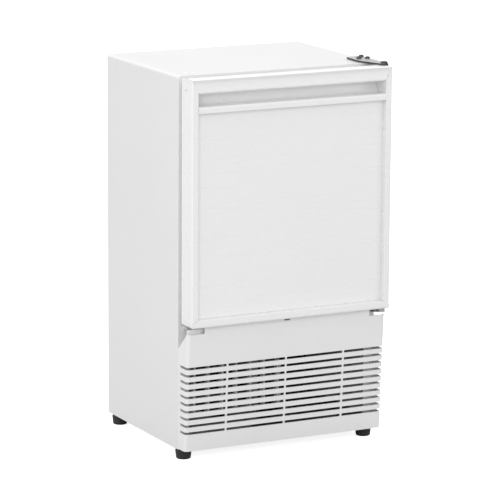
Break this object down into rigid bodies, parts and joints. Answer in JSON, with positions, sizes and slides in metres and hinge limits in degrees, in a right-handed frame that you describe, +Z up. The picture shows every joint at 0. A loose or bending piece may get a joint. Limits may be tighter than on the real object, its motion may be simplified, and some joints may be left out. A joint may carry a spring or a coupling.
{
  "type": "ice maker",
  "caption": "Compact undercounter ice maker: insulated white cabinet with a hinged framed door with recessed grip, a slotted lower grille, ice mould, storage bin and cooling machine.",
  "frame": {"origin": "middle of the footprint on the floor, under the four feet", "axes": "+Z up, -Y towards the front where the door is, +X to the right seen from the front"},
  "size_m": [0.376, 0.334, 0.6606],
  "materials": {
    "white_paint": "smooth gloss enamel on sheet steel",
    "panel_paint": "smooth gloss enamel",
    "white_plastic": "moulded, low gloss",
    "liner_plastic": "vacuum formed, semi-gloss",
    "foam": "foamed in place, open skin",
    "zinc_steel": "zinc plated",
    "dark_steel": "black phosphated",
    "rubber": "moulded",
    "black_paint": "semi-gloss enamel",
    "black_plastic": "moulded",
    "aluminium": "as rolled and die cast",
    "copper": "drawn copper, brazed",
    "grey_plastic": "moulded",
    "bin_plastic": "moulded, translucent white",
    "gasket": "soft extrusion",
    "nylon": "natural nylon"
  },
  "bodies": {
    "cabinet": {"outer_wrapper": "white_paint", "rear_panel": "zinc_steel", "base_pan": "zinc_steel", "inner_liner": "liner_plastic", "foam_insulation": "foam", "machine_roof_panel": "zinc_steel", "front_crossmember": "white_paint", "hinge_hole_cap": "white_plastic", "front_grille": "white_plastic", "grille_catch": "black_plastic", "foot_front_left": "rubber", "foot_front_right": "rubber", "foot_rear_left": "rubber", "foot_rear_right": "rubber", "top_hinge_plate": "zinc_steel", "hinge_screw_left": "dark_steel", "hinge_screw_rear": "dark_steel", "hinge_screw_right": "dark_steel", "top_hinge_pin": "dark_steel", "bottom_hinge_bracket": "zinc_steel", "compressor": "black_paint", "compressor_grommet_1": "rubber", "compressor_grommet_2": "rubber", "compressor_grommet_3": "rubber", "compressor_grommet_4": "rubber", "relay_cover": "black_plastic", "condenser_coil": "white_paint", "fan_bracket": "zinc_steel", "fan_motor": "black_paint", "water_valve": "black_plastic", "water_fill_tube": "nylon", "suction_line": "copper", "discharge_line": "copper", "filter_drier": "copper", "cord_gland": "black_plastic", "evaporator_plate": "aluminium", "thermostat_housing": "grey_plastic", "ice_mould": "aluminium", "ice_stripper": "white_plastic", "drive_motor": "zinc_steel", "control_case": "white_plastic", "control_cover": "white_plastic", "fill_cup": "white_plastic"},
    "door": {"door_left_stile": "white_plastic", "door_right_stile": "white_plastic", "door_bottom_rail": "white_plastic", "door_handle_rail": "white_plastic", "door_insert_panel": "panel_paint", "door_foam": "foam", "door_liner": "liner_plastic", "door_gasket": "gasket", "door_top_bush": "black_plastic", "door_bottom_bush": "black_plastic"},
    "bin": {"ice_bin": "bin_plastic"},
    "fan": {"fan_blade": "black_plastic"},
    "knob": {"thermostat_knob": "black_plastic"},
    "ejector": {"ejector_rake": "white_plastic", "drive_gear": "nylon"},
    "pinion": {"motor_pinion": "zinc_steel"},
    "arm": {"shutoff_arm": "zinc_steel"}
  },
  "joints": [
    {"name": "door_hinge", "type": "hinge", "parent": "cabinet", "child": "door", "pos_m": [0.18, -0.151, 0.445], "axis": [0, 0, 1], "range_deg": [0, 110]},
    {"name": "bin_slide", "type": "slide", "parent": "cabinet", "child": "bin", "axis": [0, -1, 0], "range_m": [0, 0.038]},
    {"name": "fan_spin", "type": "hinge", "parent": "cabinet", "child": "fan", "pos_m": [-0.074, -0.034, 0.106], "axis": [0, 1, 0], "continuous": true},
    {"name": "knob_turn", "type": "hinge", "parent": "cabinet", "child": "knob", "pos_m": [0.1327, -0.1, 0.578], "axis": [0, -1, 0], "range_deg": [0, 270]},
    {"name": "ejector_turn", "type": "hinge", "parent": "cabinet", "child": "ejector", "pos_m": [0, 0.062, 0.53], "axis": [1, 0, 0], "continuous": true},
    {"name": "pinion_turn", "type": "hinge", "parent": "cabinet", "child": "pinion", "pos_m": [0.065, 0.062, 0.5], "axis": [1, 0, 0], "continuous": true},
    {"name": "arm_lift", "type": "hinge", "parent": "cabinet", "child": "arm", "pos_m": [0, 0.036, 0.494], "axis": [-1, 0, 0], "range_deg": [0, 42]}
  ],
  "couplings": [
    {"joint": "pinion_turn", "follows": "ejector_turn", "ratio": -4}
  ]
}
